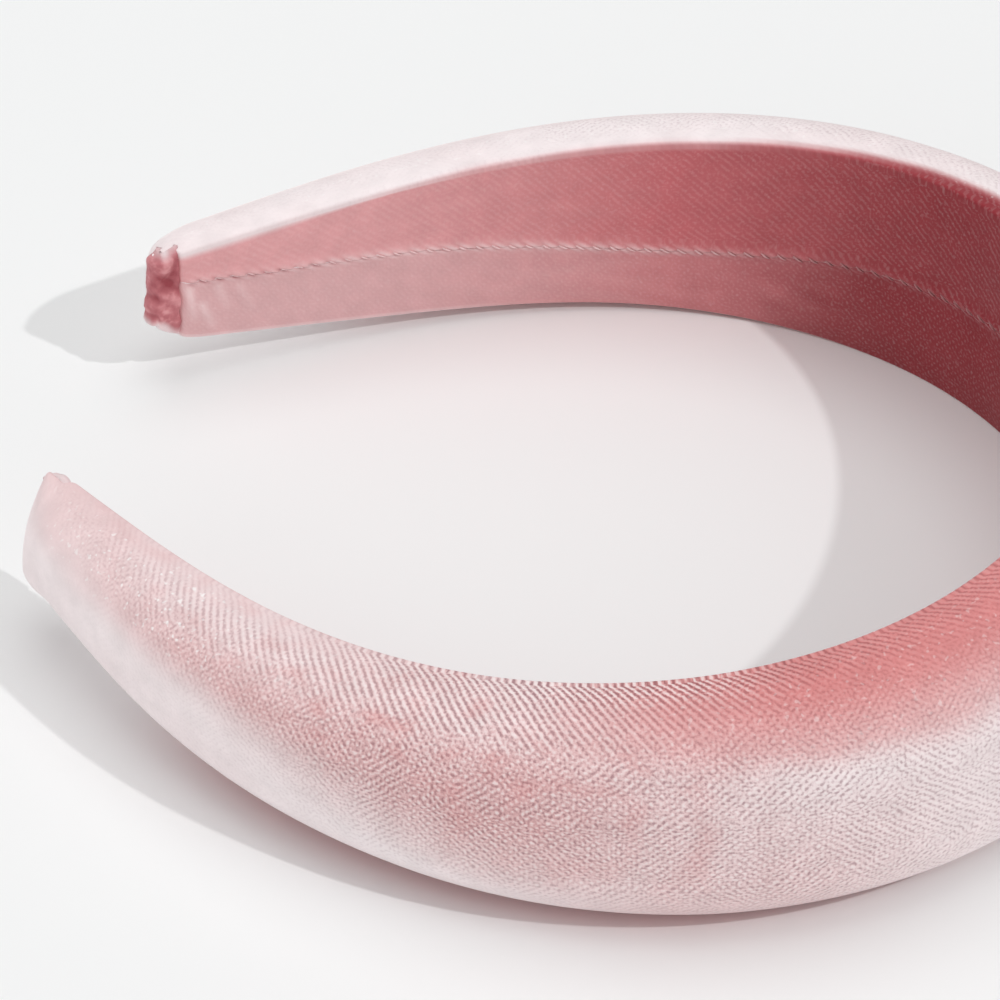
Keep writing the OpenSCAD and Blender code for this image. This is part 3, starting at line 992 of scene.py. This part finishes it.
class HEADBAND_OT_gathered_tucks(bpy.types.Operator):
    """Gather the end of the velvet into both tips"""

    bl_idname = "headband.gathered_tucks"
    bl_label = "Gathered Tucks"

    ROWS = 26
    COLUMNS = 44

    def execute(self, context):
        scene = context.scene
        band = Band(scene.headband_sizes)
        material = gathered_velvet(scene.headband_colours)
        for name, side in (("tuck_near", -1), ("tuck_far", 1)):
            tuck = mesh_object(f"gathered_{name}", self.gather(band, side), material)
            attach(tuck, "root")
            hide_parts(name)
        return {"FINISHED"}

    def relief(self, t, w):
        """Height of the folds at a place of the tuck, in millimetres."""
        height = 0.0
        for fold in CREASES:
            share, off = line_share(t * TUCK_SHAPE, w, (fold.t * TUCK_SHAPE, fold.w),
                                    (fold.end_t * TUCK_SHAPE, fold.end_w))
            height += fold.height * bell(off, fold.spread)
        return height + 0.2 * noise.noise(Vector((t * 5, w * 7, 3)))

    def paleness(self, side, along, t, w):
        """How pale the pile is at a place of the tuck: at its lower end, on top and along its rims."""
        # The paler places are painted in the colour of the painted sheen
        low = 1 - smooth(-0.86, -0.66, w + 0.06 * math.sin(9 * t))
        top = smooth(0.75, 0.9, w) if side < 0 else smooth(0.86, 0.97, w) * bell(t - 0.5, 0.22)
        rim = max(smooth(0.9, 1.0, along), smooth(0.88, 1.0, w))
        return max(0.8 * low, 0.8 * top, 0.5 * rim)

    def peak(self, side, t):
        """How far the gathers stick up past the upper edge, in millimetres."""
        if side < 0:
            return 0.45 * bell(t - 0.5, 0.24)
        return 0.4 + 0.45 * max(bell(t - 0.12, 0.24), bell(t - 0.9, 0.24))

    def gather(self, band, side):
        """A crumpled sheet over the bed and round the end of a tip, thickened inwards.

        Its rims sink into the cover, so that it looks gathered in and not laid on.
        """
        sizes = band.sizes
        turn_radius = TUCK_TURN * MM
        start = sizes.half_length - sizes.tuck_length - TUCK_EARLY * MM
        flat = sizes.tuck_length + TUCK_OVER * MM - turn_radius
        arc = turn_radius * math.pi / 2
        bm = bmesh.new()
        bmesh.ops.create_grid(bm, x_segments=self.ROWS, y_segments=self.COLUMNS, size=1)
        fold_layer = bm.verts.layers.float.new("fold")
        pale_layer = bm.verts.layers.float.new("pale")
        for vert in bm.verts:
            along = (vert.co.x + 1) / 2
            w = vert.co.y
            way = along * (flat + arc + TUCK_DOWN * MM)
            turn = min(max((way - flat) / turn_radius, 0.0), math.pi / 2)
            t = min(way / (flat + 0.6 * arc), 1.0)
            height = self.relief(t, w)
            # The folds' height also sets their painted shade and painted highlight
            vert[fold_layer] = 0.5 + 0.7 * height
            vert[pale_layer] = self.paleness(side, along, t, w)
            free = smooth(1.0, 0.93, along) * smooth(1.0, 0.84, abs(w))
            proud = mix(-0.8, 0.15 + 0.6 * height, smooth(0.0, 0.08, along))
            proud = mix(-1.5, proud, free) * MM
            ragged = 0.5 * MM * noise.noise(Vector((w * 4, side * 3, 0))) * (1 - along)
            slant = sizes.end_slant * (0.5 - 0.5 * w) * smooth(0.0, 0.6, t)
            s = start + ragged + min(way, flat) + turn_radius * math.sin(turn) + slant
            s += proud * math.sin(turn)
            out = turn_radius * (1 - math.cos(turn)) + max(0.0, way - flat - arc) - proud * math.cos(turn)
            half = band.width(s) / 2 - 0.35 * MM
            peak = self.peak(side, t) * MM
            up = w * half + peak * smooth(0.55, 0.9, w) - 0.5 * MM * smooth(0.6, 1.0, -w)
            vert.co = band.lay(side * s, out, up)
        if side > 0:
            bmesh.ops.reverse_faces(bm, faces=bm.faces)
        bmesh.ops.solidify(bm, geom=bm.faces[:], thickness=sizes.tuck_thick)
        bmesh.ops.recalc_face_normals(bm, faces=bm.faces)
        return bm


class HEADBAND_OT_seam_stitches(bpy.types.Operator):
    """Sew the slanting stitches of the seam"""

    bl_idname = "headband.seam_stitches"
    bl_label = "Seam Stitches"

    def execute(self, context):
        scene = context.scene
        sizes = scene.headband_sizes
        band = Band(sizes)
        shaker = random.Random(11)
        bm = bmesh.new()
        layer = bm.verts.layers.float.new("depth")
        last = int((sizes.half_length - sizes.tuck_length) / sizes.stitch_pitch) - 1
        for number in range(-last, last + 1):
            s = (number + 0.5) * sizes.stitch_pitch
            for vert in self.stitch(bm, band, s, shaker):
                # Partly painted shade on the thread towards the crown
                vert[layer] = 0.8 * (1 - smooth(*THREAD_PALE, abs(s) / MM))
        piece = mesh_object("seam_stitches", bm, sewing_thread(scene.headband_colours))
        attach(piece, "root")
        return {"FINISHED"}

    def stitch(self, bm, band, s, shaker):
        """One stitch as a slim bead that leans across the seam and dips at both ends."""
        sizes = band.sizes
        seam = band.seam(s)
        slant = STITCH_SLANT * shaker.uniform(0.8, 1.15)
        scale = sizes.stitch_length * shaker.uniform(0.85, 1.1) / math.hypot(1, slant)
        made = bmesh.ops.create_uvsphere(bm, u_segments=6, v_segments=6, radius=1)
        thread = sizes.thread / 2
        height = mix(*THREAD_PROUD, smooth(*THREAD_SUNK, abs(s) / MM)) * MM
        for vert in made["verts"]:
            x, y, z = vert.co
            away = 0.05 * MM + z * scale / 2
            sideways = slant * z * scale / 2 + x * thread
            proud = height - THREAD_DIP * MM * z * z + y * thread
            vert.co = band.lay(s + sideways, -proud, seam + away)
        return made["verts"]


class HEADBAND_OT_stage(bpy.types.Operator):
    """Add the floor, the light and the camera"""

    bl_idname = "headband.stage"
    bl_label = "Stage"

    def execute(self, context):
        scene = context.scene
        self.add_floor(scene.headband_colours)
        self.add_light(scene)
        self.add_camera(scene)
        return {"FINISHED"}

    def add_floor(self, colours):
        bm = bmesh.new()
        bmesh.ops.create_grid(bm, x_segments=1, y_segments=1, size=FLOOR_HALF)
        # Matt paper: even and without gloss
        material, tree = new_material("matt paper")
        shader = add_node(tree, "BsdfPrincipled", {"Base Color": (*colours.floor, 1), "Roughness": 0.9})
        add_node(tree, "OutputMaterial", {"Surface": shader})
        mesh_object("floor", bm, material)

    def add_light(self, scene):
        world = bpy.data.worlds.new("soft studio")
        world.use_nodes = True
        background = world.node_tree.nodes["Background"]
        background.inputs["Color"].default_value = (1, 1, 1, 1)
        background.inputs["Strength"].default_value = WORLD_STRENGTH
        scene.world = world
        for name, strength, spread, source in LIGHTS:
            light = bpy.data.lights.new(name, "SUN")
            light.energy = strength
            light.angle = math.radians(spread)
            lamp = bpy.data.objects.new(name, light)
            lamp.rotation_mode = "QUATERNION"
            lamp.rotation_quaternion = Vector(source).to_track_quat("Z", "Y")
            scene.collection.objects.link(lamp)
        scene.view_settings.view_transform = "Standard"

    def add_camera(self, scene):
        back = Vector((math.sin(CAMERA_TURN) * math.cos(CAMERA_RAISE),
                       -math.cos(CAMERA_TURN) * math.cos(CAMERA_RAISE), math.sin(CAMERA_RAISE)))
        right = Vector((0, 0, 1)).cross(back).normalized()
        up = back.cross(right)
        cosine, sine = math.cos(CAMERA_ROLL), math.sin(CAMERA_ROLL)
        turned = Matrix((right * cosine + up * sine, up * cosine - right * sine, back)).transposed()
        data = bpy.data.cameras.new("camera")
        data.sensor_width = 36
        data.lens = CAMERA_LENS
        camera = bpy.data.objects.new("camera", data)
        camera.rotation_mode = "QUATERNION"
        camera.location = CAMERA_TARGET + back * CAMERA_DISTANCE
        camera.rotation_quaternion = turned.to_quaternion()
        scene.collection.objects.link(camera)
        scene.camera = camera


class HEADBAND_PT_panel(bpy.types.Panel):
    """Sizes, colours and pieces of the headband"""

    bl_idname = "HEADBAND_PT_panel"
    bl_label = "Padded Headband"
    bl_space_type = "VIEW_3D"
    bl_region_type = "UI"
    bl_category = "Headband"

    def draw(self, context):
        layout = self.layout
        layout.use_property_split = True
        for group in (context.scene.headband_sizes, context.scene.headband_colours):
            column = layout.column(align=True)
            for name in group.__annotations__:
                column.prop(group, name)
        for kind in OPERATORS:
            layout.operator(kind.bl_idname)


OPERATORS = (
    HEADBAND_OT_velvet_cover,
    HEADBAND_OT_gathered_tucks,
    HEADBAND_OT_seam_stitches,
    HEADBAND_OT_stage,
)
CLASSES = (HeadbandSizes, HeadbandColours, *OPERATORS, HEADBAND_PT_panel)


def register():
    for kind in CLASSES:
        bpy.utils.register_class(kind)
    bpy.types.Scene.headband_sizes = PointerProperty(type=HeadbandSizes)
    bpy.types.Scene.headband_colours = PointerProperty(type=HeadbandColours)


def unregister():
    del bpy.types.Scene.headband_colours
    del bpy.types.Scene.headband_sizes
    for kind in reversed(CLASSES):
        bpy.utils.unregister_class(kind)


def main():
    register()
    bpy.ops.headband.velvet_cover()
    bpy.ops.headband.gathered_tucks()
    bpy.ops.headband.seam_stitches()
    bpy.ops.headband.stage()


if __name__ == "__main__":
    main()
